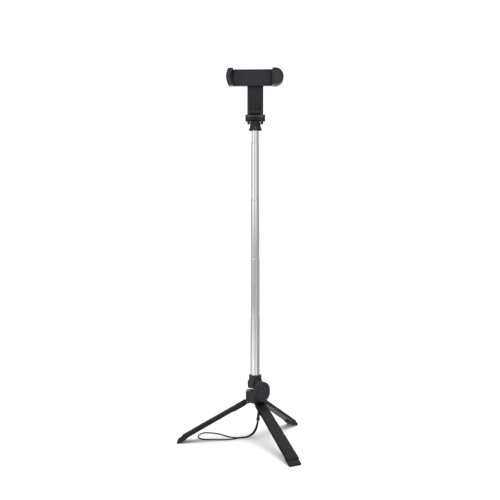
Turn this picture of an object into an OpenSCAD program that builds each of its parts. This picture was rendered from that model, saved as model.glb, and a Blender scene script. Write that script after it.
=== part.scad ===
// Selfie stick with folding tripod legs, sliding steel column, tilting phone clamp,
// clip-off shutter remote and wrist strap. Millimetres, +Z up, the column is the Z axis,
// the floor is z = 0 and the clamp faces -Y.

/* [Column] */
// Outside diameter of the widest tube
tube_od = 14.8; // [14.6:0.1:15]
// Wall of every tube
tube_wall = 0.35; // [0.3:0.01:0.36]
// Running gap between two tubes, on the radius
tube_gap = 0.06; // [0.04:0.01:0.1]
// Radius of the key groove in the widest tube
groove_r = 0.85; // [0.7:0.05:0.9]
// Length of the widest tube that shows above the collar
show_1 = 88.8; // [80:0.1:92]
// Length of the second tube that shows
show_2 = 95; // [85:0.1:98]
// Length of the third tube that shows
show_3 = 92.3; // [85:0.1:96]
// Length of the fourth tube that shows
show_4 = 88.1; // [82:0.1:92]
// Length of the thinnest tube that shows below the column head
show_5 = 18.2; // [12:0.1:24]

/* [Hub and collar] */
// Height of the leg hinges above the floor
hinge_z = 68; // [66:0.1:69]
// Outer radius of the hub blocks and of the folded handle
handle_r = 14.7; // [14.5:0.1:15]
// Inner radius of the hub blocks
bore_r = 8.6; // [8.5:0.05:8.7]
// Width of a hub block
block_w = 15.4; // [15:0.1:15.6]
// Underside of the collar
collar_z = 90; // [89.5:0.1:91]
// Height of the collar
collar_h = 19.6; // [19:0.1:20]

/* [Legs] */
// Slope of an open leg below the horizontal
leg_slope = 30.5; // [30:0.1:31]
// Distance from the hinge to the middle of the rubber nose
leg_len = 128.3; // [128.1:0.1:128.5]
// Width of a leg at its hinge
leg_w_top = 16; // [15.6:0.1:16.2]
// Width of a leg at its foot
leg_w_foot = 19.2; // [18:0.1:19.4]

/* [Column head] */
// Height of the tilt axis
tilt_z = 511.2; // [510:0.1:512]
// Radius of the tilt barrel
barrel_r = 5.8; // [5.4:0.1:6]

/* [Phone clamp] */
// Height of the clamp's turning axis
clamp_z = 571.3; // [570:0.1:573]
// Height of the clamp body
body_h = 24.8; // [24.6:0.1:25.4]
// Height of the two jaws
jaw_h = 26; // [25.8:0.1:27]
// Half length of the clamp
clamp_half = 43.7; // [43.5:0.1:44.5]
// How far the jaws stand forward of the clamp face
jaw_reach = 12; // [10:0.5:14]

/* [Remote] */
// Width of the remote
remote_w = 26; // [24:0.1:26.4]
// Height of the remote
remote_h = 31.2; // [30:0.1:32]
// Height of the middle of the remote
remote_z = 87.4; // [86.5:0.1:88]

/* [Strap] */
// Thickness of the strap cord
strap_d = 2; // [1.8:0.05:2]

/* [Hidden] */
$fn = 48;
e = 0.01;
dark = "#2b2c30";
darker = "#1f2023";
rubber = "#17181a";
steel = "#b9babb";

leg_angles = [180, -60, 60];
step_r = tube_wall + tube_gap;
groove_y = tube_od / 2 + 0.13;
shows = [show_1, show_2, show_3, show_4, show_5];
collar_top = collar_z + collar_h;
slot_fit = 0.05;
lip_rest = 1.5;
lip_h = 1.2;
stop_h = 2;
tube_foot = collar_z + 0.4;
head_z = tube_top(4);
hinge_r = (handle_r + bore_r) / 2;
knuckle_r = (handle_r - bore_r) / 2;
tongue_w = 7.2;
pin_r = 1;
leg_start = 3.7;
leg_end = 121.5;
leg_top = knuckle_r;
leg_belly = -2;
foot_peg_x = 116;
cover_t = 1.15;
cover_from = 24;
cover_to = 118;
anchor_z = 70.2;
neck_half = 12.35;
bolt_in = neck_half + 0.05;
bolt_out = 15.3;
bolt_r = 5.5;
ear_in = 8.5;
neck_t = 8;
back_y = -neck_t / 2 - 0.7;
shell_t = 2.7;
cavity_y = back_y - shell_t;
cavity_d = 3.4;
plate_y = cavity_y - cavity_d;
plate_t = 2.7;
face_y = plate_y - plate_t;
split_x = 26.5;
spring_to = 22.5;
flange_x = -31.5;
jaw_arc_x = -16.2;
jaw_arc_r = 21;
clamp_screw_x = [-26, 20];
clamp_screw_up = 10.8;
pad_t = 1.6;
dock_r = 16;
shell_r = dock_r + 0.1;
remote_face = 25.8;
button_up = 5.2;

// Route of the strap cord: from the anchor through the sleeve, round the loop on the floor
// and back through the sleeve to the anchor. Round numbers chosen by hand.
strap_out = [
    [-3.45, 16.05, 68], [-1.6, 21.9, 60.5], [2.4, 28.8, 52], [4.8, 31.1, 43], [4.2, 31, 36],
    [3.6, 30.2, 29], [2.4, 29.4, 22], [0.2, 28.8, 15], [-3.4, 28.3, 9], [-8.4, 27.8, 4.4],
    [-14.6, 27, 1.9], [-21.5, 25.6, 1.15], [-29, 23.4, 1.05], [-36.5, 23.6, 1.05],
    [-44, 28.2, 1.05], [-52, 35.2, 1.05], [-61, 42.4, 1.05], [-72, 47.2, 1.05],
    [-83, 48.6, 1.05], [-90.6, 42.8, 1.05], [-93.6, 32.6, 1.05], [-92.2, 21.6, 1.05]
];
strap_back = [
    [-86.6, 14.2, 1.05], [-78, 11.6, 1.05], [-68, 11.5, 1.05], [-57, 11.6, 1.05],
    [-46, 12.6, 1.05], [-37, 15.6, 1.05], [-29, 20.2, 1.05], [-21, 23.3, 1.15],
    [-14, 24.7, 1.9], [-7.8, 25.5, 4.4], [-3, 26, 9], [0.4, 26.5, 15], [2.4, 27.1, 22],
    [3.6, 27.9, 29], [4.2, 28.7, 36], [4.8, 28.8, 43], [3.4, 26.4, 52], [0.4, 20.4, 60.5],
    [-1.65, 14.95, 68.2]
];
strap_rings = 79;

function tube_r(i) = tube_od / 2 - i * step_r;
function sum_to(v, i) = i < 0 ? 0 : v[i] + sum_to(v, i - 1);
function tube_top(i) = collar_top + sum_to(shows, i);
function stroke(i) = shows[i] - lip_rest;
function strokes_to(i) = i < 1 ? 0 : stroke(i) + strokes_to(i - 1);
function tube_bottom(i) = tube_foot + strokes_to(i);
function arc(cx, cy, r, a0, a1, n = 16) =
    [for (k = [0:n]) let (a = a0 + (a1 - a0) * k / n) [cx + r * cos(a), cy + r * sin(a)]];

// ---------- column ----------

module grooved_disc(r, groove) {
    difference() {
        circle(r);
        translate([0, -groove_y]) circle(groove);
    }
}

module tube_profile(i, lip = 0) {
    difference() {
        grooved_disc(tube_r(i) + lip, groove_r + i * step_r);
        grooved_disc(tube_r(i) - tube_wall, groove_r + i * step_r + tube_wall);
    }
}

module tube(i, top) {
    translate([0, 0, tube_bottom(i)]) linear_extrude(top - tube_bottom(i)) tube_profile(i);
}

module lipped_tube(i) {
    color(steel) union() {
        tube(i, tube_top(i) - lip_h);
        translate([0, 0, tube_top(i) - lip_h]) linear_extrude(lip_h) tube_profile(i, 0.14);
    }
}

module tube_1() { lipped_tube(0); }
module tube_2() { lipped_tube(1); }
module tube_3() { lipped_tube(2); }
module tube_4() { lipped_tube(3); }
module tube_5() { color(steel) tube(4, head_z + 12); }

// Ring round the foot of the widest tube: it stops the tube under the collar bush
module tube_stop() {
    color(darker) translate([0, 0, tube_foot]) linear_extrude(stop_h) difference() {
        circle(bore_r - 0.5);
        circle(tube_od / 2 + 0.03);
    }
}

// ---------- hub ----------

module at_leg(a) { rotate([0, 0, a]) children(); }

// Turns an outline of (radius, height) into a block of width w standing on the leg's azimuth
module radial_block(w) { rotate([90, 0, 0]) linear_extrude(w, center = true) children(); }

module tongue_slot() {
    translate([0, -tongue_w / 2 - 0.3, hinge_z - 6]) cube([handle_r + 2, tongue_w + 0.6, 9.6]);
}

module hub_block(a, to_collar) {
    chamfer = 0.8;
    inner = 6.2;
    at_leg(a) difference() {
        union() {
            radial_block(block_w) polygon(to_collar
                ? [[inner, hinge_z], [handle_r, hinge_z], [handle_r, 87.6], [12.6, collar_z],
                   [inner, collar_z]]
                : [[inner, hinge_z], [handle_r, hinge_z], [handle_r, 83.2],
                   [handle_r - chamfer, 84], [inner, 85.6]]);
            translate([hinge_r, 0, hinge_z]) rotate([90, 0, 0])
                cylinder(r = knuckle_r, h = block_w, center = true);
        }
        translate([hinge_r, 0, hinge_z]) rotate([90, 0, 0])
            cylinder(r = pin_r + 0.03, h = block_w + 2, center = true);
        tongue_slot();
        translate([handle_r - 0.5, -4.5, 73]) cube([1, 9, 8.4]);
    }
}

module hub_frame() {
    ring_z = 66;
    band_z = 75.4;
    step_z = 92;
    color(dark) difference() {
        union() {
            hub_block(180, false);
            hub_block(-60, true);
            hub_block(60, true);
            translate([0, 0, ring_z]) cylinder(r = 11.2, h = 18);
            translate([0, 0, band_z]) cylinder(r = 11.9, h = 1.6);
        }
        translate([0, 0, ring_z - 10]) cylinder(r = bore_r, h = step_z - ring_z + 10);
        for (a = leg_angles) at_leg(a) tongue_slot();
        for (a = [-60, 60]) at_leg(a) translate([10.6, 0, hinge_z + 5])
            cylinder(r = 0.95, h = 30);
        for (a = [-60, 60]) at_leg(a) translate([10.6, 0, hinge_z + 3])
            cylinder(r = 1.75, h = 10);
        at_leg(60) translate([11.2, block_w / 2 - 3, anchor_z]) rotate([-90, 0, 0])
            cylinder(r = 0.83, h = 4);
    }
}

module leg_pins() {
    color("#8d8f92") for (a = leg_angles) at_leg(a) translate([hinge_r, 0, hinge_z])
        rotate([90, 0, 0]) cylinder(r = pin_r, h = block_w - 0.3, center = true);
}

module collar_outline() {
    polygon(concat(
        [[0, 0], [11.8, 0], [12, 4]], arc(10.2, 8.4, 1.8, 0, 50, 4),
        [[10.1, 12.6]], arc(12, 15.2, 2.2, 195, 165, 4),
        [[9.9, 17.6], [9.9, collar_h - 0.5], [9.5, collar_h], [0, collar_h]]));
}

module flutes(r, z, h, size) {
    for (a = [30:60:330]) at_leg(a) translate([r, 0, z]) cylinder(r = size, h = h);
}

module collar() {
    color(dark) difference() {
        translate([0, 0, collar_z]) rotate_extrude() collar_outline();
        translate([0, 0, collar_z - 1]) cylinder(r = 8.35, h = collar_h - 1.1);
        translate([0, 0, collar_z]) cylinder(r = tube_od / 2 + 0.15, h = collar_h + 1);
        flutes(12.3, collar_z + 1.8, collar_h - 3.6, 3);
        for (a = [-60, 60]) at_leg(a) translate([10.6, 0, collar_z - 1])
            cylinder(r = 0.85, h = 6);
    }
}

module collar_bush() {
    color("#3a3b3f") translate([0, 0, tube_foot + stop_h + 0.4])
        linear_extrude(collar_top - 2.3 - tube_foot - stop_h - 0.6) difference() {
            circle(8.3);
            grooved_disc(tube_od / 2 + slot_fit, groove_r - slot_fit);
        }
}

module collar_screws() {
    color("#6f7174") for (a = [-60, 60]) at_leg(a) translate([10.6, 0, 0]) {
        translate([0, 0, hinge_z + 10.6]) cylinder(r = 1.6, h = 2.35);
        translate([0, 0, hinge_z + 12]) cylinder(r = 0.8, h = 14);
    }
}

module remote_dock() {
    rail = 1.8;
    color(dark) at_leg(-60) {
        difference() {
            translate([handle_r + 0.05, -7, 73.4]) cube([dock_r - handle_r - 0.05, 14, 25]);
            for (s = [-1, 1]) translate([handle_r, s * 7, 98.4]) rotate([45, 0, 0])
                cube([4, 3, 3], center = true);
        }
        translate([dock_r - e, -4, remote_z - 6]) cube([rail, 8, 12]);
    }
}

// Steel eye on the left side of the back block
module strap_anchor() {
    color("#8d8f92") at_leg(60) translate([11.2, 0, anchor_z]) {
        translate([0, block_w / 2 - 2.8, 0]) rotate([-90, 0, 0]) cylinder(r = 0.8, h = 6.9);
        translate([0, block_w / 2 + 4, 0]) rotate([-90, 0, 0]) cylinder(r = 1.5, h = 0.6);
    }
}

// ---------- legs ----------

module leg_place(a) {
    at_leg(a) translate([hinge_r, 0, hinge_z]) rotate([0, leg_slope, 0]) children();
}

// Plan of a leg: narrow at the hinge, wide at the foot, drawn d smaller all round
module leg_plan(from, to, d = 0) {
    function half_w(x) = (leg_w_top + (leg_w_foot - leg_w_top) * x / leg_end) / 2 - d;
    polygon([[from, -half_w(from)], [to, -half_w(to)], [to, half_w(to)], [from, half_w(from)]]);
}

module leg_body() {
    difference() {
        intersection() {
            translate([0, 0, -10]) linear_extrude(20) leg_plan(leg_start, leg_end);
            rotate([90, 0, 0]) linear_extrude(30, center = true) polygon([
                [leg_start, -leg_top + 0.4], [leg_start + 0.5, -leg_top], [24, -leg_top],
                [30, leg_belly], [leg_end, leg_belly], [leg_end, leg_top - 1],
                [leg_end - 1, leg_top], [leg_start, leg_top]]);
        }
        // recess behind the tongue, and the small vent grid in front of it
        translate([0, -5.9, 0.4]) cube([10.4, 11.8, 10]);
        for (i = [0:3], j = [-1.5:1:1.5]) translate([13.4 + i * 2.6, j * 2.6, leg_top])
            cube([1.7, 1.7, 4], center = true);
        // seat of the cover
        translate([0, 0, leg_top - cover_t - 0.05]) linear_extrude(5)
            leg_plan(cover_from - 0.15, cover_to + 0.15, 1.15);
        // hollow of the inner side, which wraps the column when the leg is folded
        translate([32, 0, leg_belly - 9.6]) rotate([0, 90, 0]) cylinder(r = 11, h = 81);
        // snap slots in the edges
        for (x = [44, 72, 104], s = [-1, 1]) translate([x, s * 9.2, leg_top - 0.2])
            cube([2.4, 2.4, 1.6], center = true);
        // peg hole of the foot
        translate([foot_peg_x, 0, leg_belly - 1]) cylinder(r = 1.55, h = 3);
    }
    difference() {
        union() {
            rotate([90, 0, 0]) cylinder(r = knuckle_r, h = tongue_w, center = true);
            translate([0, -tongue_w / 2, -knuckle_r]) cube([8, tongue_w, knuckle_r + 0.4 + e]);
        }
        rotate([90, 0, 0]) cylinder(r = pin_r + 0.06, h = tongue_w + 2, center = true);
    }
}

module leg_cover() {
    difference() {
        translate([0, 0, leg_top - cover_t]) linear_extrude(cover_t)
            leg_plan(cover_from, cover_to, 1.3);
        translate([cover_from + 3, -3, leg_top - 0.5]) cube([1, 6, 1]);
        translate([cover_to - 5, -3, leg_top - 0.5]) cube([1, 6, 1]);
    }
}

module foot(a) {
    nose_r = 2.2;
    nose_up = -1;
    top = nose_up + nose_r;
    sole = nose_up - nose_r;
    under = leg_belly - 0.05;
    color(rubber) difference() {
        leg_place(a) {
            rotate([90, 0, 0]) linear_extrude(leg_w_foot - 0.4, center = true) {
                translate([leg_len, nose_up]) circle(nose_r);
                polygon([[110, under], [117, sole], [leg_len, sole], [leg_len, top],
                         [leg_end + 0.05, top], [leg_end + 0.05, under]]);
            }
            translate([foot_peg_x, 0, under - 0.5]) cylinder(r = 1.5, h = 2.3);
        }
        translate([-200, -200, -20]) cube([400, 400, 20]);
    }
}

module leg_left() { color(dark) leg_place(180) leg_body(); }
module leg_front() { color(dark) leg_place(-60) leg_body(); }
module leg_back() { color(dark) leg_place(60) leg_body(); }
module leg_cover_left() { color(darker) leg_place(180) leg_cover(); }
module leg_cover_front() { color(darker) leg_place(-60) leg_cover(); }
module leg_cover_back() { color(darker) leg_place(60) leg_cover(); }
module foot_left() { foot(180); }
module foot_front() { foot(-60); }
module foot_back() { foot(60); }

// ---------- column head ----------

module column_head() {
    web_h = tilt_z - head_z - 7;
    color(dark) difference() {
        union() {
            translate([0, 0, tilt_z]) rotate([0, 90, 0])
                cylinder(r = barrel_r, h = 14.5, center = true);
            translate([-6.8, -3.6, head_z + 7 - e]) cube([13.6, 7.2, web_h]);
            translate([0, 0, head_z]) rotate_extrude() polygon([
                [0, 0], [10.4, 0], [10.4, 0.8], [9.4, 3.2], [8.4, 6.2], [8.2, 7], [8.2, 12.4],
                [7.9, 12.7], [0, 12.7]]);
        }
        translate([0, 0, tilt_z]) rotate([0, 90, 0]) cylinder(r = 2.57, h = 16, center = true);
        // click teeth over the top of the barrel
        translate([0, 0, tilt_z]) for (k = [0:9]) rotate([k * 20 - 90, 0, 0])
            translate([0, 0, barrel_r]) cube([8.6, 0.7, 0.9], center = true);
        // socket of the thinnest tube
        translate([0, 0, head_z - 1]) cylinder(r = tube_r(4) + 0.03, h = 13.2);
        // hollow of the skirt
        translate([0, 0, head_z - e]) cylinder(r1 = 9.2, r2 = 6.5, h = 2.4);
        translate([0, 0, head_z + 9.4]) rotate([90, 0, 0])
            cylinder(r = 0.93, h = 20, center = true);
    }
}

module head_rivet() {
    color("#8d8f92") translate([0, 0, head_z + 9.4]) rotate([90, 0, 0]) difference() {
        cylinder(r = 0.9, h = 15.6, center = true);
        cylinder(r = 3, h = 2 * (tube_r(4) + 0.1), center = true);
    }
}

// ---------- neck ----------

module neck_blank() {
    rotate([90, 0, 0]) linear_extrude(neck_t, center = true) difference() {
        union() {
            translate([0, clamp_z]) circle(neck_half);
            translate([-neck_half, tilt_z + 7.8]) square([2 * neck_half, clamp_z - tilt_z - 7.8]);
        }
        translate([0, clamp_z]) circle(3.07);
    }
    // rear apron that closes the gap over the barrel
    translate([-neck_half, -0.5, tilt_z + 4]) cube([2 * neck_half, neck_t / 2 + 0.5, 4]);
}

module neck_ear(s) {
    ear_t = neck_half - ear_in;
    translate([s * (ear_in + ear_t / 2), 0, 0]) rotate([90, 0, 90])
        linear_extrude(ear_t, center = true) difference() {
            union() {
                translate([0, tilt_z]) circle(5.9);
                translate([-4, tilt_z]) square([8, 10]);
                polygon([[-4, tilt_z], [4, tilt_z], [3, tilt_z - 9.6], [-3, tilt_z - 9.6]]);
            }
            translate([0, tilt_z]) circle(2.53);
        }
}

module neck() {
    color(dark) difference() {
        union() {
            neck_blank();
            for (s = [-1, 1]) neck_ear(s);
        }
        translate([0, 0, tilt_z]) rotate([0, 90, 0])
            cylinder(r = barrel_r + 0.35, h = 2 * ear_in, center = true);
        // three sloping channels with two ribs between them
        for (c = [[-8.2, -4.3], [-2.1, 2.1], [4.3, 8.2]]) translate([c[0], 0, 0])
            rotate([90, 0, 90]) linear_extrude(c[1] - c[0]) polygon([
                [-neck_t / 2 - 1, 522], [-0.6, 522], [-neck_t / 2, 549],
                [-neck_t / 2 - 1, 549]]);
        // seat of the back cover
        translate([-8.2, neck_t / 2 - 1.5, 524]) cube([16.4, 3, 33.4]);
        for (z = [529, 552]) translate([0, 4, z]) rotate([90, 0, 0]) cylinder(r = 0.83, h = 4.2);
    }
}

module neck_cover() {
    color(darker) difference() {
        translate([-8, neck_t / 2 - 1.45, 524.2]) cube([16, 1.45, 33]);
        for (z = [529, 552]) translate([0, 5, z]) rotate([90, 0, 0]) cylinder(r = 0.9, h = 5);
        for (z = [529, 552]) translate([0, 5, z]) rotate([90, 0, 0]) cylinder(r = 1.7, h = 1.8);
    }
}

module neck_screws() {
    color("#6f7174") for (z = [529, 552]) translate([0, neck_t / 2, z]) rotate([90, 0, 0])
        difference() {
            union() {
                cylinder(r = 1.6, h = 0.75);
                cylinder(r = 0.8, h = 3.6);
            }
            translate([0, 0, -0.1]) cube([2, 0.4, 0.8], center = true);
            translate([0, 0, -0.1]) cube([0.4, 2, 0.8], center = true);
        }
}

module tilt_bolt() {
    color(darker) translate([0, 0, tilt_z]) rotate([0, 90, 0]) {
        translate([0, 0, -bolt_in - e]) cylinder(r = 2.5, h = bolt_in + 13.3);
        difference() {
            translate([0, 0, -bolt_out]) cylinder(r = bolt_r, h = bolt_out - bolt_in);
            translate([0, 0, -bolt_out - 1]) cylinder(r = 2.3, h = 2.2, $fn = 6);
        }
    }
}

module tilt_nut() {
    color(darker) translate([0, 0, tilt_z]) rotate([0, 90, 0]) difference() {
        translate([0, 0, bolt_in]) cylinder(r = bolt_r, h = bolt_out - bolt_in);
        translate([0, 0, bolt_in - 1]) cylinder(r = 2.53, h = 2.1);
        for (a = [0:45:315]) rotate([0, 0, a]) translate([bolt_r + 0.4, 0, bolt_in - 1])
            cylinder(r = 0.7, h = 6);
    }
}

module tilt_washers() {
    color("#8d8f92") for (s = [-1, 1]) translate([s * 7.88, 0, tilt_z]) rotate([0, 90, 0])
        difference() {
            cylinder(r = 5.8, h = 1, center = true);
            cylinder(r = 2.55, h = 3, center = true);
        }
}

// ---------- phone clamp ----------

// A plan of the clamp stands on the XZ plane, y = 0, and is d deep towards -Y
module upright(y, d) {
    translate([0, y, clamp_z]) rotate([90, 0, 0]) linear_extrude(d) children();
}

module clamp_outline(d = 0) {
    end_r = 26.7;
    corner = 3.4;
    up = jaw_h / 2 - corner;
    end_x = end_r - clamp_half;
    corner_x = end_x - sqrt(pow(end_r - corner, 2) - pow(up, 2));
    tangent = up * (end_r - d) / (end_r - corner);
    right_c = clamp_half - jaw_h / 2;
    h = jaw_h / 2 - d;
    intersection() {
        translate([end_x, 0]) circle(end_r - d, $fn = 96);
        translate([-60, -tangent - 0.15]) square([60, 2 * tangent + 0.3]);
    }
    for (s = [-1, 1]) translate([corner_x, s * up]) circle(corner - d - 0.01);
    translate([corner_x, -h]) square([right_c - corner_x, 2 * h]);
    translate([right_c, 0]) circle(h);
}

// The part of the outline that the lower body fills, up to the x given
module body_band(to, d = 0) {
    h = body_h / 2 - d;
    intersection() {
        clamp_outline(d);
        translate([-60, -h]) square([60 + to, 2 * h]);
    }
}

module body_outline(d = 0) {
    intersection() {
        body_band(split_x - 0.2 - d, d);
        union() {
            translate([jaw_arc_x, 0]) circle(jaw_arc_r - 0.25 - d, $fn = 96);
            translate([jaw_arc_x, -20]) square([60, 40]);
        }
    }
}

module clamp_back() {
    color(dark) difference() {
        upright(back_y, shell_t + cavity_d) body_band(split_x - 0.2);
        // slideway: wide for the springs, then narrow for the tongue of the sliding jaw
        translate([-36, plate_y - 1, clamp_z - 9.4]) cube([36 + spring_to, cavity_d + 1, 18.8]);
        translate([0, plate_y - 1, clamp_z - 6.2]) cube([40, cavity_d + 1, 12.4]);
        // clearance for the pivot screw and the clamp screws
        translate([0, back_y + 1, clamp_z]) rotate([90, 0, 0]) cylinder(r = 3.03, h = 9);
        at_clamp_screws(back_y + 1) cylinder(r = 0.75, h = 12);
        at_clamp_screws(back_y + 1) cylinder(r = 1.3, h = 1.9);
    }
}

module at_clamp_screws(y) {
    for (x = clamp_screw_x, s = [-1, 1]) translate([x, y, clamp_z + s * clamp_screw_up])
        rotate([90, 0, 0]) children();
}

module clamp_screws() {
    color("#6f7174") at_clamp_screws(back_y) {
        cylinder(r = 1.25, h = 0.85);
        cylinder(r = 0.7, h = 7.6);
    }
}

module clamp_face() {
    color(dark) difference() {
        upright(plate_y, plate_t) body_outline();
        upright(face_y + 0.5, 1) difference() {
            body_outline(2);
            body_outline(2.6);
        }
        at_clamp_screws(plate_y + 1) cylinder(r = 0.73, h = 2.7);
    }
}

module fixed_jaw() {
    color(dark) difference() {
        upright(plate_y, plate_t + jaw_reach) difference() {
            intersection() {
                clamp_outline();
                translate([-60, -20]) square([60 + jaw_arc_x - 6, 40]);
            }
            translate([jaw_arc_x, 0]) circle(jaw_arc_r, $fn = 96);
        }
        upright(face_y - jaw_reach + 0.4, 1) difference() {
            clamp_outline(1.2);
            clamp_outline(1.7);
        }
        upright(plate_y + 1, 40) translate([jaw_arc_x - 17.2, -20]) square([40, 40]);
    }
}

module fixed_jaw_pad() {
    color(rubber) upright(face_y - 0.3, jaw_reach - 1.2) intersection() {
        difference() {
            translate([jaw_arc_x, 0]) circle(jaw_arc_r - 0.05, $fn = 96);
            translate([jaw_arc_x, 0]) circle(jaw_arc_r - pad_t, $fn = 96);
        }
        translate([-40, -10.5]) square([9, 21]);
    }
}

module jaw_outline(d = 0) {
    intersection() {
        clamp_outline(d);
        translate([split_x + d, -20]) square([40, 40]);
    }
}

module sliding_jaw() {
    color(dark) difference() {
        union() {
            upright(cavity_y, cavity_d + plate_t + jaw_reach) jaw_outline();
            upright(back_y, shell_t + e) jaw_outline();
            translate([flange_x, plate_y + 0.2, clamp_z - 6])
                cube([split_x - flange_x + e, cavity_d - 0.4, 12]);
            translate([flange_x, plate_y + 0.2, clamp_z - 9]) cube([3, cavity_d - 0.4, 18]);
        }
        // framed panel in the front of the jaw
        upright(face_y - jaw_reach + 0.7, 2) jaw_outline(1.7);
    }
}

module sliding_jaw_pad() {
    color(rubber) difference() {
        translate([split_x - 1.55, face_y - jaw_reach + 1.2, clamp_z - 10.5])
            cube([1.5, jaw_reach - 1.5, 21]);
        for (k = [-3:3]) translate([split_x - 1.6, face_y - jaw_reach, clamp_z + k * 2.8])
            cube([0.5, jaw_reach, 1], center = false);
    }
}

// One closed sleeve stands for each coil spring
module jaw_springs() {
    color("#a5a6a8") for (s = [-1, 1])
        translate([flange_x + 3.05, cavity_y - cavity_d / 2, clamp_z + s * 7.7])
            rotate([0, 90, 0]) difference() {
                cylinder(r = 1.3, h = spring_to - flange_x - 3.1);
                translate([0, 0, -1]) cylinder(r = 0.85, h = 80);
            }
}

module pivot_screw() {
    color("#6f7174") translate([0, neck_t / 2 + 0.05, clamp_z]) rotate([90, 0, 0]) {
        difference() {
            translate([0, 0, -1.8]) cylinder(r = 5.2, h = 1.8);
            translate([0, 0, -1.9]) cube([6.4, 1.1, 1.8], center = true);
            translate([0, 0, -1.9]) cube([1.1, 6.4, 1.8], center = true);
        }
        translate([0, 0, -e]) cylinder(r = 3, h = neck_t + 0.7 + shell_t - 0.1);
    }
}

module pivot_washer() {
    color(rubber) translate([0, -neck_t / 2 - 0.07, clamp_z]) rotate([90, 0, 0]) difference() {
        cylinder(r = 9, h = 0.6);
        translate([0, 0, -1]) cylinder(r = 3.05, h = 3);
    }
}

// ---------- remote ----------

// Local X runs across the remote, Y up and Z out of its face
module on_remote(r) {
    at_leg(-60) translate([r, 0, remote_z]) rotate([90, 0, 90]) children();
}

module remote_oval(d = 0) {
    r = remote_w / 2;
    c = remote_h / 2 - r;
    translate([0, c]) circle(r - d);
    translate([0, -c]) circle(r - d);
    translate([-r + d, -c]) square([2 * (r - d), 2 * c]);
}

module remote_base() {
    color(dark) on_remote(shell_r) difference() {
        union() {
            linear_extrude(3) remote_oval(0.35);
            translate([0, 0, 3 - e]) linear_extrude(1) remote_oval(1.7);
        }
        translate([0, 0, -1]) linear_extrude(2.8) square([8.4, 13], center = true);
        translate([0, 0, 2.2]) linear_extrude(3) remote_oval(2.9);
    }
}

module remote_shell() {
    depth = remote_face - shell_r - 3.05;
    color(dark) on_remote(shell_r + 3.05) difference() {
        union() {
            linear_extrude(depth - 1.2) remote_oval();
            translate([0, 0, depth - 1.2 - e]) linear_extrude(0.7) remote_oval(0.7);
            translate([0, 0, depth - 0.5 - e]) linear_extrude(0.5 + e) remote_oval(1.7);
        }
        translate([0, 0, -1]) linear_extrude(depth - 0.6) remote_oval(1.6);
        translate([0, 0, depth - 0.55]) linear_extrude(2) difference() {
            remote_oval(3.4);
            remote_oval(4.4);
        }
        translate([0, button_up, 0]) cylinder(r = 4.1, h = 20);
        translate([0, -6, depth - 0.3]) cylinder(r = 1.1, h = 2);
    }
}

module remote_board() {
    color("#2f6b45") on_remote(shell_r + 5.8) linear_extrude(0.8) remote_oval(2);
}

module coin_cell() {
    color(steel) on_remote(shell_r + 3.3) translate([0, -2, 0]) {
        cylinder(r = 6.25, h = 1.6);
        translate([0, 0, 1.5]) cylinder(r = 5.4, h = 0.5);
    }
}

module remote_ring() {
    color("#3f4146") on_remote(remote_face + 0.05) translate([0, button_up, 0]) difference() {
        cylinder(r = 5, h = 0.35);
        translate([0, 0, -1]) cylinder(r = 4.15, h = 3);
    }
}

module remote_button() {
    seat = 7.3;
    cap = remote_face - shell_r - seat + 0.75;
    color(darker) on_remote(shell_r + seat) translate([0, button_up, 0]) difference() {
        union() {
            cylinder(r = 4, h = cap);
            cylinder(r = 4.7, h = 0.4);
        }
        translate([0, 0, cap - 0.2]) difference() {
            cylinder(r = 2.3, h = 1);
            translate([0, 0, -1]) cylinder(r = 1.8, h = 3);
        }
    }
}

// ---------- strap ----------

function hermite(a, b, c, d, t) = let (m = (c - a) / 2, n = (d - b) / 2)
    (2 * pow(t, 3) - 3 * pow(t, 2) + 1) * b + (pow(t, 3) - 2 * pow(t, 2) + t) * m
    + (3 * pow(t, 2) - 2 * pow(t, 3)) * c + (pow(t, 3) - pow(t, 2)) * n;
function route_at(p, u) = let (k = min(floor(u), len(p) - 2))
    hermite(p[max(k - 1, 0)], p[k], p[k + 1], p[min(k + 2, len(p) - 1)], u - k);
function unit(v) = v / norm(v);

module swept_cord(route, rings, d) {
    sides = 8;
    last = rings - 1;
    centres = [for (i = [0:last]) route_at(route, i * (len(route) - 1) / last)];
    points = [for (i = [0:last])
        let (along = unit(centres[min(i + 1, last)] - centres[max(i - 1, 0)]),
             side = unit(cross(along, [0.11, 0.13, 1])), up = cross(side, along))
        for (k = [0:sides - 1])
            centres[i] + d / 2 * (cos(k * 360 / sides) * side + sin(k * 360 / sides) * up)];
    faces = concat(
        [[for (k = [sides - 1:-1:0]) k]],
        [for (i = [0:last - 1], k = [0:sides - 1])
            let (a = i * sides + k, b = i * sides + (k + 1) % sides)
            [a, b, b + sides, a + sides]],
        [[for (k = [0:sides - 1]) last * sides + k]]);
    polyhedron(points, faces);
}

module strap_cord() {
    color(rubber) swept_cord(concat(strap_out, strap_back), strap_rings, strap_d);
}

module strap_sleeve() {
    color(rubber) hull() {
        for (y = [29.2, 30.7]) translate([4.7, y, 42]) sphere(1.75, $fn = 24);
        for (y = [28.6, 29.9]) translate([3.7, y, 30]) sphere(2.3, $fn = 24);
    }
}

module strap_hitch() {
    color(rubber) at_leg(60) translate([11.2, block_w / 2 + 0.2, anchor_z]) rotate([-90, 0, 0])
        difference() {
            cylinder(r = 2.2, h = 3.6);
            translate([0, 0, -1]) cylinder(r = 0.84, h = 6);
        }
}

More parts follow.
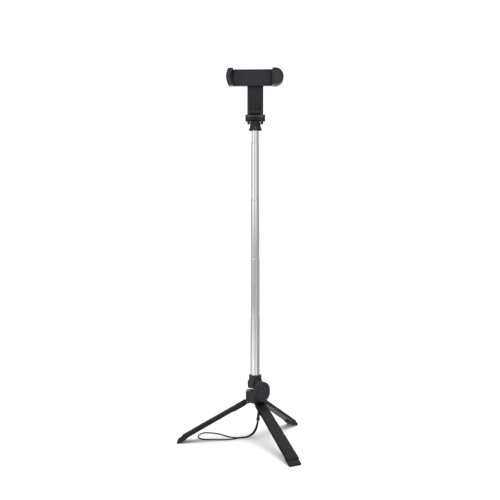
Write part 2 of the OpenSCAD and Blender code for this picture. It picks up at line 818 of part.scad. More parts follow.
hub_frame();
collar();
collar_bush();
collar_screws();
leg_pins();
remote_dock();
strap_anchor();
leg_left();
leg_front();
leg_back();
leg_cover_left();
leg_cover_front();
leg_cover_back();
foot_left();
foot_front();
foot_back();
tube_1();
tube_stop();
tube_2();
tube_3();
tube_4();
tube_5();
column_head();
head_rivet();
neck();
neck_cover();
neck_screws();
tilt_bolt();
tilt_nut();
tilt_washers();
clamp_back();
clamp_face();
clamp_screws();
fixed_jaw();
fixed_jaw_pad();
pivot_screw();
pivot_washer();
sliding_jaw();
sliding_jaw_pad();
jaw_springs();
remote_base();
remote_shell();
remote_board();
coin_cell();
remote_ring();
remote_button();
strap_cord();
strap_sleeve();
strap_hitch();
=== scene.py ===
import math

import bmesh
import bpy
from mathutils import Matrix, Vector


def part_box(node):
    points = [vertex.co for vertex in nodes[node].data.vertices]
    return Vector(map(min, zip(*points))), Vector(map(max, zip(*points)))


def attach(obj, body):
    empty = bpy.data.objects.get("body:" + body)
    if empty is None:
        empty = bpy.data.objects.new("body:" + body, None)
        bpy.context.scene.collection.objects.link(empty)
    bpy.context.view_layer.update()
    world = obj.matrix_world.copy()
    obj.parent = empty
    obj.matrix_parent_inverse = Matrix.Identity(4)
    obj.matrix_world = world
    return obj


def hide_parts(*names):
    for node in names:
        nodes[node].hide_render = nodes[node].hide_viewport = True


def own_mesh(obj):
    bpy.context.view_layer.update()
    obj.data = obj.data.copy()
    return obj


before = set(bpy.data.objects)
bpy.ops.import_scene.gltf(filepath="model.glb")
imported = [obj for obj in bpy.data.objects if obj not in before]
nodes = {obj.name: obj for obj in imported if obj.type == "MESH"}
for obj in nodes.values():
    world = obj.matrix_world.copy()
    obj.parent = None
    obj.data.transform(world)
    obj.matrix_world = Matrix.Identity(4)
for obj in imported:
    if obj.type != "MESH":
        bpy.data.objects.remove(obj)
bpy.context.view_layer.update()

MM = 0.001

# ---------- camera ----------

CAMERA_PLACE = (0.0379, -1.1994, 0.3761)
CAMERA_PITCH = 3.313
CAMERA_TURN = 2.2046
CAMERA_LENS = 55.35


def make_camera():
    data = bpy.data.cameras.new("camera")
    data.lens = CAMERA_LENS
    data.sensor_width = 36
    data.clip_start = 0.05
    data.clip_end = 60
    camera = bpy.data.objects.new("camera", data)
    camera.location = CAMERA_PLACE
    camera.rotation_euler = (math.radians(90 - CAMERA_PITCH), 0, math.radians(CAMERA_TURN))
    bpy.context.scene.collection.objects.link(camera)
    bpy.context.scene.camera = camera


make_camera()

# ---------- mesh helpers ----------


def make_object(name, mesh):
    obj = bpy.data.objects.new(name, mesh)
    bpy.context.scene.collection.objects.link(obj)
    return obj


def loft(name, rings, closed=False):
    """A skin over rings of points, joined end to end if closed, or with an end face at each end."""
    mesh = bpy.data.meshes.new(name)
    count = len(rings[0])
    points = [p for ring in rings for p in ring]
    faces = []
    spans = len(rings) if closed else len(rings) - 1
    for r in range(spans):
        a, b = r * count, (r + 1) % len(rings) * count
        for k in range(count):
            n = (k + 1) % count
            faces.append((a + k, a + n, b + n, b + k))
    if not closed:
        faces.append(tuple(reversed(range(count))))
        last = (len(rings) - 1) * count
        faces.append(tuple(range(last, last + count)))
    mesh.from_pydata(points, [], faces)
    bm = bmesh.new()
    bm.from_mesh(mesh)
    bmesh.ops.recalc_face_normals(bm, faces=bm.faces)
    bm.to_mesh(mesh)
    bm.free()
    return make_object(name, mesh)


def hermite(a, b, c, d, t):
    """Point between b and c on a smooth curve that also heads for a and d."""
    m, n = (c - a) / 2, (d - b) / 2
    return (
        (2 * t**3 - 3 * t**2 + 1) * b
        + (t**3 - 2 * t**2 + t) * m
        + (3 * t**2 - 2 * t**3) * c
        + (t**3 - t**2) * n
    )


def smooth_route(points, steps):
    p = [Vector(q) for q in points]
    last = len(p) - 1
    line = []
    for k in range(last):
        for s in range(steps):
            around = (p[max(k - 1, 0)], p[k], p[k + 1], p[min(k + 2, last)])
            line.append(hermite(*around, s / steps))
    line.append(p[last])
    return line


# Not along the start of any route, so that a first side can be found from it
ASKEW = Vector((0.11, 0.13, 1))


def carried_frames(line):
    """For each point of a line, two directions square to it that turn as little as possible."""
    frames = []
    side = None
    for k in range(len(line)):
        along = (line[min(k + 1, len(line) - 1)] - line[max(k - 1, 0)]).normalized()
        if side is None:
            side = along.cross(ASKEW).normalized()
        side = (side - side.dot(along) * along).normalized()
        frames.append((side, along.cross(side)))
    return frames


def swept_tube(name, line, radius, sides):
    """A round tube along a line, with U along its length and V round it, both in metres."""
    rings = []
    for point, (side, up) in zip(line, carried_frames(line)):
        turn = [2 * math.pi * k / sides for k in range(sides)]
        rings.append([point + radius * (math.cos(a) * side + math.sin(a) * up) for a in turn])
    obj = loft(name, rings)
    run = [0.0]
    for a, b in zip(line, line[1:]):
        run.append(run[-1] + (b - a).length)
    layer = obj.data.uv_layers.new(name="weave")
    girth = 2 * math.pi * radius
    for face in obj.data.polygons:
        places = [obj.data.loops[i].vertex_index for i in face.loop_indices]
        columns = [v % sides for v in places]
        wraps = max(columns) - min(columns) > 1
        for i, v, column in zip(face.loop_indices, places, columns):
            column = sides if wraps and column == 0 else column
            layer.data[i].uv = (run[v // sides], girth * column / sides)
    return obj


# In degrees: edges flatter than SMOOTH_ANGLE are shaded smooth, edges sharper than BEVEL_ANGLE
# are rounded, and faces within FLAT_ANGLE of each other are joined before that
SMOOTH_ANGLE = 32
BEVEL_ANGLE = 28
FLAT_ANGLE = 0.4
WELD_GAP = 0.004 * MM
BEVEL_STEPS = 3
FLAT_WEIGHT = 90


def smooth_group():
    """Geometry nodes that shade smooth across edges flatter than an angle."""
    group = bpy.data.node_groups.new("smooth_by_angle", "GeometryNodeTree")
    group.interface.new_socket("Geometry", in_out="INPUT", socket_type="NodeSocketGeometry")
    group.interface.new_socket("Geometry", in_out="OUTPUT", socket_type="NodeSocketGeometry")
    make = group.nodes.new
    start, end = make("NodeGroupInput"), make("NodeGroupOutput")
    faces, edges = make("GeometryNodeSetShadeSmooth"), make("GeometryNodeSetShadeSmooth")
    faces.domain, edges.domain = "FACE", "EDGE"
    angle, flatter = make("GeometryNodeInputMeshEdgeAngle"), make("FunctionNodeCompare")
    flatter.operation = "LESS_THAN"
    flatter.inputs[1].default_value = math.radians(SMOOTH_ANGLE)
    link = group.links.new
    link(start.outputs[0], faces.inputs["Geometry"])
    link(faces.outputs[0], edges.inputs["Geometry"])
    link(angle.outputs["Unsigned Angle"], flatter.inputs[0])
    link(flatter.outputs[0], edges.inputs["Shade Smooth"])
    link(edges.outputs[0], end.inputs[0])
    return group


SMOOTH = smooth_group()


def shade(obj):
    obj.modifiers.new("smooth", "NODES").node_group = SMOOTH


def keep_flats_flat(obj):
    """Lets large faces set the shading, so that a rounded edge bends no face beside it."""
    weighted = obj.modifiers.new("weighted", "WEIGHTED_NORMAL")
    weighted.mode = "FACE_AREA_WITH_ANGLE"
    weighted.weight = FLAT_WEIGHT
    weighted.keep_sharp = True


def round_edges(obj, width):
    """Rounds the sharp edges of a CAD node with modifiers, to a width in millimetres."""
    if obj.data.has_custom_normals:
        obj.data.attributes.remove(obj.data.attributes["custom_normal"])
    weld = obj.modifiers.new("weld", "WELD")
    weld.merge_threshold = WELD_GAP
    flat = obj.modifiers.new("flat", "DECIMATE")
    flat.decimate_type = "DISSOLVE"
    flat.angle_limit = math.radians(FLAT_ANGLE)
    if width > 0:
        bevel = obj.modifiers.new("bevel", "BEVEL")
        bevel.width = width * MM
        bevel.segments = BEVEL_STEPS
        bevel.limit_method = "ANGLE"
        bevel.angle_limit = math.radians(BEVEL_ANGLE)
        bevel.use_clamp_overlap = True
    shade(obj)
    keep_flats_flat(obj)


# ---------- materials ----------


class Graph:
    """Shorthand for making and joining the nodes of one node tree."""

    def __init__(self, tree):
        self.tree = tree

    def node(self, kind, **settings):
        made = self.tree.nodes.new(kind)
        for key, value in settings.items():
            setattr(made, key, value)
        return made

    def link(self, a, b):
        self.tree.links.new(a, b)

    def span(self, value, low, high, start=0.3, end=0.7):
        """value, remapped from start..end to low..high."""
        ramp = self.node("ShaderNodeMapRange", clamp=True)
        limits = (("From Min", start), ("From Max", end), ("To Min", low), ("To Max", high))
        for key, number in limits:
            ramp.inputs[key].default_value = number
        self.link(value, ramp.inputs["Value"])
        return ramp.outputs["Result"]

    def math(self, operation, a, b):
        made = self.node("ShaderNodeMath", operation=operation)
        for socket, value in zip(made.inputs, (a, b)):
            if isinstance(value, (int, float)):
                socket.default_value = value
            else:
                self.link(value, socket)
        return made.outputs[0]

    def blend(self, factor, first, second):
        """A colour from first, where factor is 0, to second. Either may be an output."""
        mix = self.node("ShaderNodeMix", data_type="RGBA")
        self.link(factor, mix.inputs["Factor"])
        for key, value in (("A", first), ("B", second)):
            socket = next(s for s in mix.inputs if s.name == key and s.type == "RGBA")
            if isinstance(value, tuple):
                socket.default_value = (*value, 1)
            else:
                self.link(value, socket)
        return next(s for s in mix.outputs if s.type == "RGBA")


class Shader(Graph):
    """A material under construction."""

    def __init__(self, name, color, roughness, metallic=0.0):
        self.material = bpy.data.materials.new(name)
        self.material.use_nodes = True
        super().__init__(self.material.node_tree)
        self.surface = self.tree.nodes["Principled BSDF"]
        self.color = color
        self.surface.inputs["Base Color"].default_value = (*color, 1)
        self.surface.inputs["Roughness"].default_value = roughness
        self.surface.inputs["Metallic"].default_value = metallic

    def place(self, stretch=(1, 1, 1)):
        """Object coordinates in metres, stretched."""
        coordinates = self.node("ShaderNodeTexCoord")
        mapping = self.node("ShaderNodeMapping")
        mapping.inputs["Scale"].default_value = stretch
        self.link(coordinates.outputs["Object"], mapping.inputs["Vector"])
        return mapping.outputs["Vector"]

    def noise(self, scale, detail=3.0, stretch=(1, 1, 1), rough=0.5):
        texture = self.node("ShaderNodeTexNoise")
        texture.inputs["Scale"].default_value = scale
        texture.inputs["Detail"].default_value = detail
        texture.inputs["Roughness"].default_value = rough
        self.link(self.place(stretch), texture.inputs["Vector"])
        return texture.outputs["Fac"]

    def tint(self, share):
        return tuple(min(1, c * share) for c in self.color)

    def edges(self, radius):
        """1 on edges, falling to 0 about radius away from them."""
        bevel = self.node("ShaderNodeBevel", samples=4)
        bevel.inputs["Radius"].default_value = radius
        geometry = self.node("ShaderNodeNewGeometry")
        dot = self.node("ShaderNodeVectorMath", operation="DOT_PRODUCT")
        self.link(bevel.outputs["Normal"], dot.inputs[0])
        self.link(geometry.outputs["Normal"], dot.inputs[1])
        return self.span(dot.outputs["Value"], 1.0, 0.0, 0.8, 0.985)

    def painted_crevice_shade(self, reach):
        """Mask for painted shade: 1 in the open, falling to 0 in grooves and recesses narrower than
        reach.
        """
        occlusion_shade = self.node("ShaderNodeAmbientOcclusion", samples=8)
        occlusion_shade.inputs["Distance"].default_value = reach
        return self.span(occlusion_shade.outputs["AO"], 0, 1.0, 0.25, 0.9)

    def bump(self, height, strength, distance, under=None):
        made = self.node("ShaderNodeBump")
        made.inputs["Strength"].default_value = strength
        made.inputs["Distance"].default_value = distance
        self.link(height, made.inputs["Height"])
        if under is not None:
            self.link(under, made.inputs["Normal"])
        return made.outputs["Normal"]

    def finish(self, color=None, roughness=None, normal=None):
        for key, value in (("Base Color", color), ("Roughness", roughness), ("Normal", normal)):
            if value is not None:
                self.link(value, self.surface.inputs[key])
        return self.material


# Edges look rubbed for about EDGE_REACH, and grooves are darkened with painted shade up to a width
# of about the reach given below for plastic or for steel
PLASTIC_SPECULAR = 0.32
RUBBER_SPECULAR = 0.3
BRAID_SPECULAR = 0.25
EDGE_REACH = 0.4 * MM
# How far the painted shade in grooves reaches, for plastic and for steel
PLASTIC_GROOVE_SHADE = 2.6 * MM
STEEL_GROOVE_SHADE = 1.6 * MM


def moulded(name, color, roughness, grain=2600, depth=0.05, wear=1.9):
    """Moulded plastic: spark-eroded grain, slight mottling, rubbed edges, painted shade in grooves.
    """
    s = Shader(name, color, roughness)
    s.surface.inputs["Specular IOR Level"].default_value = PLASTIC_SPECULAR
    mottle = s.noise(70, 4)
    fine = s.noise(grain, 2, rough=0.7)
    rub = s.math("MULTIPLY", s.edges(EDGE_REACH), s.span(s.noise(260, 3), 0.15, 0.75))
    body = s.blend(s.span(mottle, 0, 1), s.tint(0.88), s.tint(1.12))
    speckled = s.blend(s.span(fine, 0, 0.6, 0.55, 0.75), body, s.tint(1.35))
    rubbed = s.blend(rub, speckled, s.tint(wear))
    # Painted shade: grooves and recesses darken toward a fifth of the colour
    color_out = s.blend(s.painted_crevice_shade(PLASTIC_GROOVE_SHADE), s.tint(0.2), rubbed)
    rough = s.span(mottle, roughness + 0.05, roughness - 0.05)
    rough = s.math("SUBTRACT", rough, s.math("MULTIPLY", rub, 0.1))
    return s.finish(color_out, rough, s.bump(fine, 0.35, depth * MM))


def drawn_steel(name, color, roughness):
    """Bright drawn tube: faint lines along Z, finger marks, painted shade in the key groove."""
    s = Shader(name, color, roughness, metallic=1.0)
    lines = s.noise(1, 5, stretch=(2600, 2600, 14), rough=0.65)
    marks = s.noise(38, 5, stretch=(1, 1, 0.35))
    body = s.blend(s.span(lines, 0, 1), s.tint(0.93), s.tint(1.04))
    # Painted shade: the key groove and other hollows darken toward a quarter of the steel's colour
    body = s.blend(s.painted_crevice_shade(STEEL_GROOVE_SHADE), s.tint(0.25), body)
    cloudy = s.span(marks, roughness - 0.04, roughness + 0.07)
    rough = s.math("ADD", cloudy, s.span(lines, -0.02, 0.04))
    return s.finish(body, rough, s.bump(lines, 0.12, 0.01 * MM))


def plated(name, color, roughness):
    """Small plated steel parts: a fine grain and dull patches."""
    s = Shader(name, color, roughness, metallic=1.0)
    cloud = s.noise(420, 4)
    fine = s.noise(5200, 2)
    body = s.blend(s.span(cloud, 0, 1), s.tint(0.82), s.tint(1.12))
    rough = s.span(cloud, roughness + 0.12, roughness - 0.06)
    return s.finish(body, rough, s.bump(fine, 0.2, 0.01 * MM))


def rubber(name, color, roughness, ribs=None):
    """Moulded rubber: matte, finely pored, dusty in patches, ribbed along one axis if asked."""
    s = Shader(name, color, roughness)
    s.surface.inputs["Specular IOR Level"].default_value = RUBBER_SPECULAR
    dust = s.noise(190, 5)
    pores = s.noise(3400, 3, rough=0.8)
    body = s.blend(s.span(dust, 0, 1, 0.4, 0.75), s.tint(0.9), s.tint(1.5))
    normal = s.bump(pores, 0.4, 0.04 * MM)
    if ribs is not None:
        axis, pitch = ribs
        wave = s.node("ShaderNodeTexWave", bands_direction=axis)
        wave.inputs["Scale"].default_value = 1 / pitch / math.pi
        s.link(s.place(), wave.inputs["Vector"])
        normal = s.bump(wave.outputs["Fac"], 0.6, 0.2 * MM, under=normal)
    return s.finish(body, s.span(dust, roughness - 0.04, roughness + 0.08), normal)


def braided(name, color, roughness, pitch):
    """Braided cord: two sets of yarns that cross as they wind round it."""
    s = Shader(name, color, roughness)
    s.surface.inputs["Specular IOR Level"].default_value = BRAID_SPECULAR
    s.surface.inputs["Sheen Weight"].default_value = 0.06
    s.surface.inputs["Sheen Roughness"].default_value = 0.45
    layer = s.node("ShaderNodeUVMap", uv_map="weave")
    parts = s.node("ShaderNodeSeparateXYZ")
    s.link(layer.outputs["UV"], parts.inputs["Vector"])
    along = s.math("MULTIPLY", parts.outputs["X"], 2 * math.pi / pitch)
    around = s.math("MULTIPLY", parts.outputs["Y"], 2 * math.pi / pitch)
    one = s.math("SINE", s.math("ADD", along, around), 0)
    two = s.math("SINE", s.math("SUBTRACT", along, around), 0)
    weave = s.math("MULTIPLY", one, two)
    fuzz = s.noise(5200, 3)
    body = s.blend(s.span(weave, 0, 1, -0.7, 0.8), s.tint(0.55), s.tint(1.45))
    normal = s.bump(weave, 0.8, 0.12 * MM, under=s.bump(fuzz, 0.3, 0.05 * MM))
    return s.finish(body, s.span(fuzz, roughness - 0.06, roughness + 0.08), normal)


def laminate(name, color):
    s = Shader(name, color, 0.35)
    glass_weave = s.node("ShaderNodeTexChecker")
    glass_weave.inputs["Scale"].default_value = 1400
    glass_weave.inputs["Color1"].default_value = (*s.tint(0.9), 1)
    glass_weave.inputs["Color2"].default_value = (*s.tint(1.12), 1)
    s.link(s.place(), glass_weave.inputs["Vector"])
    return s.finish(glass_weave.outputs["Color"], s.span(s.noise(300), 0.3, 0.45))


ABS_BLACK = (0.0158, 0.016, 0.0215)
ABS_LEG = (0.0048, 0.0049, 0.0055)
ABS_REMOTE = (0.0215, 0.022, 0.026)

black = moulded("abs_black", ABS_BLACK, 0.42)
jaw_black = moulded("abs_jaw", (0.0235, 0.0237, 0.0295), 0.38)
head_black = moulded("abs_head", (0.0075, 0.0077, 0.0105), 0.5)
leg_black = moulded("abs_leg", ABS_LEG, 0.4)
leg_panel = moulded("abs_leg_panel", (0.004, 0.0041, 0.0046), 0.46, grain=1700, depth=0.09)
panel = moulded("abs_panel", (0.0085, 0.0088, 0.0115), 0.5, grain=1900)
charcoal = moulded("abs_charcoal", ABS_REMOTE, 0.45)
trim = moulded("abs_trim", (0.045, 0.0465, 0.052), 0.38)
key_cap = moulded("abs_key", (0.0165, 0.017, 0.0205), 0.4)
acetal = moulded("acetal", (0.02, 0.02, 0.021), 0.35, wear=1.3)
foot_rubber = rubber("foot_rubber", (0.0095, 0.0095, 0.0105), 0.62, ribs=("X", 1.6 * MM))
grip_rubber = rubber("grip_rubber", (0.0065, 0.0065, 0.0075), 0.7, ribs=("Z", 2.1 * MM))
sleeve_rubber = rubber("sleeve_rubber", (0.01, 0.01, 0.011), 0.55)
tube_steel = drawn_steel("drawn_steel", (0.76, 0.76, 0.755), 0.12)
pin_steel = plated("zinc_plate", (0.42, 0.42, 0.43), 0.3)
screw_steel = plated("black_zinc", (0.09, 0.09, 0.1), 0.34)
nickel = plated("nickel", (0.62, 0.61, 0.58), 0.22)
spring_steel = plated("spring_wire", (0.5, 0.5, 0.5), 0.26)
board_green = laminate("board", (0.02, 0.11, 0.05))
braid = braided("braid", (0.005, 0.005, 0.0055), 0.62, 0.55 * MM)


def paint(obj, material):
    obj.data.materials.clear()
    obj.data.materials.append(material)


# ---------- strap cord ----------

STRAP_RADIUS = 1.0 * MM
STRAP_SIDES = 16
STRAP_STEPS = 14
# The route of the strap: down through the sleeve, round the loop on the floor, and back up
# through the sleeve. It repeats the route in part.scad, except that at heights of 4.4 to 29 mm
# each strand is set 0.3 to 0.8 mm aside in X, so that both show from -Y
STRAP_ROUTE_MM = [
    (-3.45, 16.05, 68), (-1.6, 21.9, 60.5), (2.4, 28.8, 52), (4.8, 31.1, 43), (4.2, 31, 36),
    (3.3, 30.2, 29), (1.6, 29.4, 22), (-0.6, 28.8, 15), (-4.2, 28.3, 9), (-9, 27.8, 4.4),
    (-14.6, 27, 1.9), (-21.5, 25.6, 1.15), (-29, 23.4, 1.05), (-36.5, 23.6, 1.05),
    (-44, 28.2, 1.05), (-52, 35.2, 1.05), (-61, 42.4, 1.05), (-72, 47.2, 1.05), (-83, 48.6, 1.05),
    (-90.6, 42.8, 1.05), (-93.6, 32.6, 1.05), (-92.2, 21.6, 1.05), (-86.6, 14.2, 1.05),
    (-78, 11.6, 1.05), (-68, 11.5, 1.05), (-57, 11.6, 1.05), (-46, 12.6, 1.05), (-37, 15.6, 1.05),
    (-29, 20.2, 1.05), (-21, 23.3, 1.15), (-14, 24.7, 1.9), (-7.2, 25.5, 4.4), (-2.2, 26, 9),
    (1.2, 26.5, 15), (3.2, 27.1, 22), (3.9, 27.9, 29), (4.2, 28.7, 36), (4.8, 28.8, 43),
    (3.4, 26.4, 52), (0.4, 20.4, 60.5), (-1.65, 14.95, 68.2),
]


def make_strap_cord():
    route = [Vector(p) * MM for p in STRAP_ROUTE_MM]
    line = smooth_route(route, STRAP_STEPS)
    cord = swept_tube("wrist_cord", line, STRAP_RADIUS, STRAP_SIDES)
    paint(cord, braid)
    shade(cord)
    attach(cord, "hub")
    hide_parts("strap_cord")
    return cord, route, line


SLEEVE_TOP_MM = (4.75, 29.95, 43.7)
SLEEVE_BOTTOM_MM = (3.5, 29.1, 28.1)
SLEEVE_SIDES = 40
# Share of the way down, half width and half depth in millimetres
SLEEVE_PROFILE = [
    (0.00, 1.45, 1.75), (0.015, 1.8, 2.15), (0.05, 1.95, 2.35), (0.16, 2.05, 2.42),
    (0.30, 2.15, 2.48), (0.33, 1.98, 2.34), (0.37, 1.98, 2.34), (0.40, 2.2, 2.5),
    (0.50, 2.3, 2.54), (0.53, 2.12, 2.4), (0.57, 2.14, 2.4), (0.60, 2.4, 2.58),
    (0.74, 2.62, 2.68), (0.90, 2.88, 2.76), (0.975, 2.86, 2.74), (0.995, 2.6, 2.5),
    (1.0, 1.9, 1.9),
]


def make_sleeve():
    """Moulded sleeve over both strands: slim neck, ribbed middle and a flared lower end."""
    top, bottom = Vector(SLEEVE_TOP_MM) * MM, Vector(SLEEVE_BOTTOM_MM) * MM
    across = Vector((1, 0, 0))
    along = (bottom - top).normalized()
    across = (across - across.dot(along) * along).normalized()
    thin = along.cross(across)
    rings = []
    for share, wide, deep in SLEEVE_PROFILE:
        centre = top.lerp(bottom, share)
        turn = [2 * math.pi * k / SLEEVE_SIDES for k in range(SLEEVE_SIDES)]
        rings.append([
            centre + wide * MM * math.cos(a) * across + deep * MM * math.sin(a) * thin
            for a in turn
        ])
    sleeve = loft("cord_sleeve", rings)
    paint(sleeve, sleeve_rubber)
    shade(sleeve)
    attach(sleeve, "hub")
    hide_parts("strap_sleeve")
    return sleeve


# The anchor pin lies above the back leg, whose bearing is in degrees, and runs square to it
BACK_LEG_BEARING = 60
ANCHOR_OUT = 11.2 * MM
ANCHOR_Z = 70.2 * MM
HITCH_TURNS = 2
HITCH_WIND = 1.44 * MM
HITCH_RADIUS = 0.58 * MM
HITCH_START = 8.5 * MM
HITCH_PITCH = 2.05 * HITCH_RADIUS
HITCH_STEPS = 28
HITCH_SIDES = 12


def make_hitch():
    """Hitch on the anchor pin: two turns of the cord side by side."""
    turn = math.radians(BACK_LEG_BEARING)
    out = Vector((math.cos(turn), math.sin(turn), 0))
    side = Vector((-math.sin(turn), math.cos(turn), 0))
    pin = out * ANCHOR_OUT + Vector((0, 0, ANCHOR_Z))
    line = []
    for k in range(HITCH_TURNS * HITCH_STEPS + 1):
        a = 2 * math.pi * k / HITCH_STEPS
        step = HITCH_START + HITCH_PITCH * k / HITCH_STEPS
        wound = math.cos(a) * out + math.sin(a) * Vector((0, 0, 1))
        line.append(pin + side * step + HITCH_WIND * wound)
    hitch = swept_tube("cord_hitch", line, HITCH_RADIUS, HITCH_SIDES)
    paint(hitch, braid)
    shade(hitch)
    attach(hitch, "hub")
    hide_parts("strap_hitch")
    return hitch


cord, strap_route, strap_line = make_strap_cord()
sleeve = make_sleeve()
hitch = make_hitch()

# ---------- column tubes ----------

# GROOVE_ROUND is how wide the edges of a tube are rounded, where they are sharper than
# GROOVE_ANGLE in degrees
TUBE_WALL = 0.35 * MM
TUBE_STEP = 0.41 * MM
GROOVE_R = 0.85 * MM
LIP_OUT = 0.14 * MM
LIP_HIGH = 1.2 * MM
LIP_RISE = 0.12 * MM
LIP_EDGE = 0.16 * MM
GROOVE_OUT = 0.13 * MM
GROOVE_ROUND = 0.14 * MM
GROOVE_ANGLE = 30
TUBES = 5
LIPPED_TUBES = 4


def grooved_outline(radius, groove_y, groove, count=132, inner=14):
    """Points round a circle with a round key groove at -Y."""
    reach = (radius**2 + groove_y**2 - groove**2) / (2 * groove_y)
    mouth = math.acos(min(1, reach / radius))
    points = []
    for k in range(count):
        a = -math.pi / 2 + mouth + (2 * math.pi - 2 * mouth) * k / (count - 1)
        points.append((radius * math.cos(a), radius * math.sin(a)))
    end_x, end_y = points[-1]
    first = math.atan2(end_y + groove_y, end_x)
    last = math.pi - first
    for k in range(1, inner):
        a = first + (last - first) * k / inner
        points.append((groove * math.cos(a), -groove_y + groove * math.sin(a)))
    return points


def make_tube(index):
    node = f"tube_{index + 1}"
    low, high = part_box(node)
    lipped = index < LIPPED_TUBES
    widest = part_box("tube_1")[1].x - LIP_OUT
    radius = widest - index * TUBE_STEP
    groove_y = widest + GROOVE_OUT
    groove = GROOVE_R + index * TUBE_STEP
    bore = grooved_outline(radius - TUBE_WALL, groove_y, groove + TUBE_WALL)
    skin = grooved_outline(radius, groove_y, groove)
    lip = grooved_outline(radius + LIP_OUT, groove_y, groove)
    lip_face = grooved_outline(radius + LIP_OUT * 0.35, groove_y, groove)
    levels = [(skin, low.z), (skin, low.z + MM)]
    if lipped:
        levels += [
            (skin, high.z - LIP_HIGH - MM),
            (skin, high.z - LIP_HIGH),
            (lip, high.z - LIP_HIGH + LIP_RISE),
            (lip, high.z - LIP_EDGE),
            (lip_face, high.z),
        ]
    else:
        levels += [(skin, high.z - MM), (skin, high.z)]
    levels += [(bore, high.z), (bore, low.z)]
    rings = [[Vector((x, y, z)) for x, y in outline] for outline, z in levels]
    tube = loft(f"column_{node}", rings, closed=True)
    paint(tube, tube_steel)
    soft = tube.modifiers.new("groove_edges", "BEVEL")
    soft.width = GROOVE_ROUND
    soft.segments = BEVEL_STEPS
    soft.limit_method = "ANGLE"
    soft.angle_limit = math.radians(GROOVE_ANGLE)
    shade(tube)
    keep_flats_flat(tube)
    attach(tube, f"stage_{index + 1}")
    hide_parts(node)


for stage in range(TUBES):
    make_tube(stage)

# ---------- CAD nodes that stay, with rounded edges and their materials ----------

# The material of each node, and how wide its edges are rounded, in millimetres
FINISHES = {
    "hub_frame": (black, 0.3), "collar": (black, 0.3), "collar_bush": (acetal, 0.1),
    "collar_screws": (screw_steel, 0.1), "leg_pins": (pin_steel, 0.15),
    "remote_dock": (black, 0.25), "strap_anchor": (pin_steel, 0.1),
    "tube_stop": (acetal, 0.1), "column_head": (head_black, 0.2), "head_rivet": (screw_steel, 0.1),
    "neck": (black, 0.5), "neck_cover": (panel, 0.3), "neck_screws": (screw_steel, 0.1),
    "tilt_bolt": (head_black, 0.5), "tilt_nut": (head_black, 0.4), "tilt_washers": (acetal, 0.1),
    "clamp_back": (black, 0.5), "clamp_face": (black, 0.2), "clamp_screws": (screw_steel, 0.1),
    "fixed_jaw": (jaw_black, 0.2), "fixed_jaw_pad": (grip_rubber, 0.3),
    "pivot_screw": (screw_steel, 0.3), "pivot_washer": (grip_rubber, 0.1),
    "sliding_jaw": (jaw_black, 0.2), "sliding_jaw_pad": (grip_rubber, 0.2),
    "remote_base": (charcoal, 0.3), "remote_shell": (charcoal, 0.3),
    "remote_board": (board_green, 0), "coin_cell": (nickel, 0.2),
    "remote_ring": (trim, 0.05), "remote_button": (key_cap, 0.3),
}
for place in ("left", "front", "back"):
    FINISHES[f"leg_{place}"] = (leg_black, 0.4)
    FINISHES[f"leg_cover_{place}"] = (leg_panel, 0.25)
    FINISHES[f"foot_{place}"] = (foot_rubber, 0.5)

for name, (material, width) in FINISHES.items():
    paint(nodes[name], material)
    round_edges(nodes[name], width)


# ---------- clamp springs ----------


SPRING_RADIUS = 1.0 * MM
SPRING_WIRE = 0.3 * MM
SPRING_SLEEVE = 1.3 * MM
SPRING_TURNS = 24
SPRING_STEPS = 16
SPRING_SIDES = 6


def make_spring(sign):
    """A real coil in place of each of the CAD's closed sleeves."""
    low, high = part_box("jaw_springs")
    middle = Vector((0, (low.y + high.y) / 2, 0))
    height = (high.z - SPRING_SLEEVE) if sign > 0 else (low.z + SPRING_SLEEVE)
    count = SPRING_TURNS * SPRING_STEPS
    line = []
    for k in range(count + 1):
        a = 2 * math.pi * k / SPRING_STEPS
        x = low.x + SPRING_WIRE + (high.x - low.x - 2 * SPRING_WIRE) * k / count
        y, z = SPRING_RADIUS * math.cos(a), SPRING_RADIUS * math.sin(a)
        line.append(Vector((x, middle.y + y, height + z)))
    name = "jaw_spring_upper" if sign > 0 else "jaw_spring_lower"
    spring = swept_tube(name, line, SPRING_WIRE, SPRING_SIDES)
    paint(spring, spring_steel)
    shade(spring)
    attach(spring, "clamp")
    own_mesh(spring)
    return spring


upper_spring = make_spring(1)
make_spring(-1)
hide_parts("jaw_springs")

# ---------- floor, light ----------


FLOOR_HALF = 30
FLOOR_SPECULAR = 0.2


def make_floor():
    """A plain pale floor. Reflections do not see it, so that the steel tube shows the darker
    sides of the studio down to its foot."""
    mesh = bpy.data.meshes.new("floor")
    corners = [(x * FLOOR_HALF, y * FLOOR_HALF, 0) for x, y in ((-1, -1), (1, -1), (1, 1), (-1, 1))]
    mesh.from_pydata(corners, [], [(0, 1, 2, 3)])
    floor = make_object("floor", mesh)
    floor.visible_glossy = False
    s = Shader("floor", (0.93, 0.93, 0.93), 0.75)
    s.surface.inputs["Specular IOR Level"].default_value = FLOOR_SPECULAR
    paint(floor, s.finish(s.blend(s.span(s.noise(3, 3), 0, 1), s.tint(0.995), s.tint(1.005))))


# Brightness of the studio round the object, by bearing in degrees: 0 is in front of it (-Y), 90
# at +X, 180 behind it
STUDIO = [
    (-180, 1.25), (-171, 1.25), (-167, 0.1), (-112, 0.12), (-100, 1.1), (-40, 1.3),
    (-16, 1.2), (-10, 0.45), (12, 0.5), (16, 1.3), (34, 1.3), (38, 0.5), (80, 0.42),
    (135, 0.5), (160, 1.25), (180, 1.25),
]
# The far side of the studio floor, seen just below the horizon, is an even grey
FAR_FLOOR = 0.48
STUDIO_PEAK = 1.4
OVERHEAD = 0.75
# Heights between which the surround changes over, as the Z of a direction
OVERHEAD_START, OVERHEAD_FULL = 0.6, 0.85
FLOOR_NEAR_START, FLOOR_NEAR_FULL = -0.17, -0.13
FLOOR_FAR_START, FLOOR_FAR_FULL = -0.01, -0.06
# What the camera itself sees behind the object, from any side
BACKDROP = 1.25


def grey(tone):
    return (tone / STUDIO_PEAK,) * 3


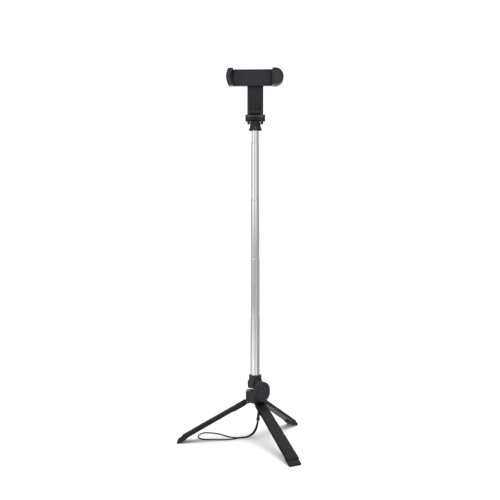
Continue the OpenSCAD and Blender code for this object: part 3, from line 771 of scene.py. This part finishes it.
def make_world():
    """A soft surround whose brightness depends on the bearing, and evens out overhead and on
    the far side of the studio floor."""
    world = bpy.data.worlds.new("studio")
    bpy.context.scene.world = world
    world.use_nodes = True
    g = Graph(world.node_tree)
    parts = g.node("ShaderNodeSeparateXYZ")
    g.link(g.node("ShaderNodeTexCoord").outputs["Generated"], parts.inputs["Vector"])
    rise = parts.outputs["Z"]
    bearing = g.math("ARCTAN2", parts.outputs["X"], g.math("MULTIPLY", parts.outputs["Y"], -1))
    ring = g.node("ShaderNodeValToRGB")
    g.link(g.span(bearing, 0, 1, -math.pi, math.pi), ring.inputs["Fac"])
    stops = ring.color_ramp.elements
    for k, (angle, tone) in enumerate(STUDIO):
        spot = (angle + 180) / 360
        stop = stops[k] if k < 2 else stops.new(spot)
        stop.position = spot
        stop.color = (*grey(tone), 1)
    overhead = g.span(rise, 0, 1, OVERHEAD_START, OVERHEAD_FULL)
    above_near = g.span(rise, 0, 1, FLOOR_NEAR_START, FLOOR_NEAR_FULL)
    below_horizon = g.span(rise, 0, 1, FLOOR_FAR_START, FLOOR_FAR_FULL)
    far = g.math("MULTIPLY", above_near, below_horizon)
    colour = g.blend(overhead, ring.outputs["Color"], grey(OVERHEAD))
    colour = g.blend(far, colour, grey(FAR_FLOOR))
    seen = g.node("ShaderNodeLightPath").outputs["Is Camera Ray"]
    background = g.tree.nodes["Background"]
    g.link(g.blend(seen, colour, grey(BACKDROP)), background.inputs["Color"])
    background.inputs["Strength"].default_value = STUDIO_PEAK


# Spread and tilt in degrees
KEY_STRENGTH = 2.0
KEY_SPREAD = 36
KEY_TILT = 22


def make_key():
    """A broad soft sun, high and in front, so that shadows fall back from the legs."""
    data = bpy.data.lights.new("key", "SUN")
    data.energy = KEY_STRENGTH
    data.angle = math.radians(KEY_SPREAD)
    light = bpy.data.objects.new("key", data)
    light.rotation_euler = (math.radians(KEY_TILT), 0, 0)
    bpy.context.scene.collection.objects.link(light)


make_floor()
make_world()
make_key()
bpy.context.scene.view_settings.view_transform = "Standard"
bpy.context.scene.view_settings.look = "None"
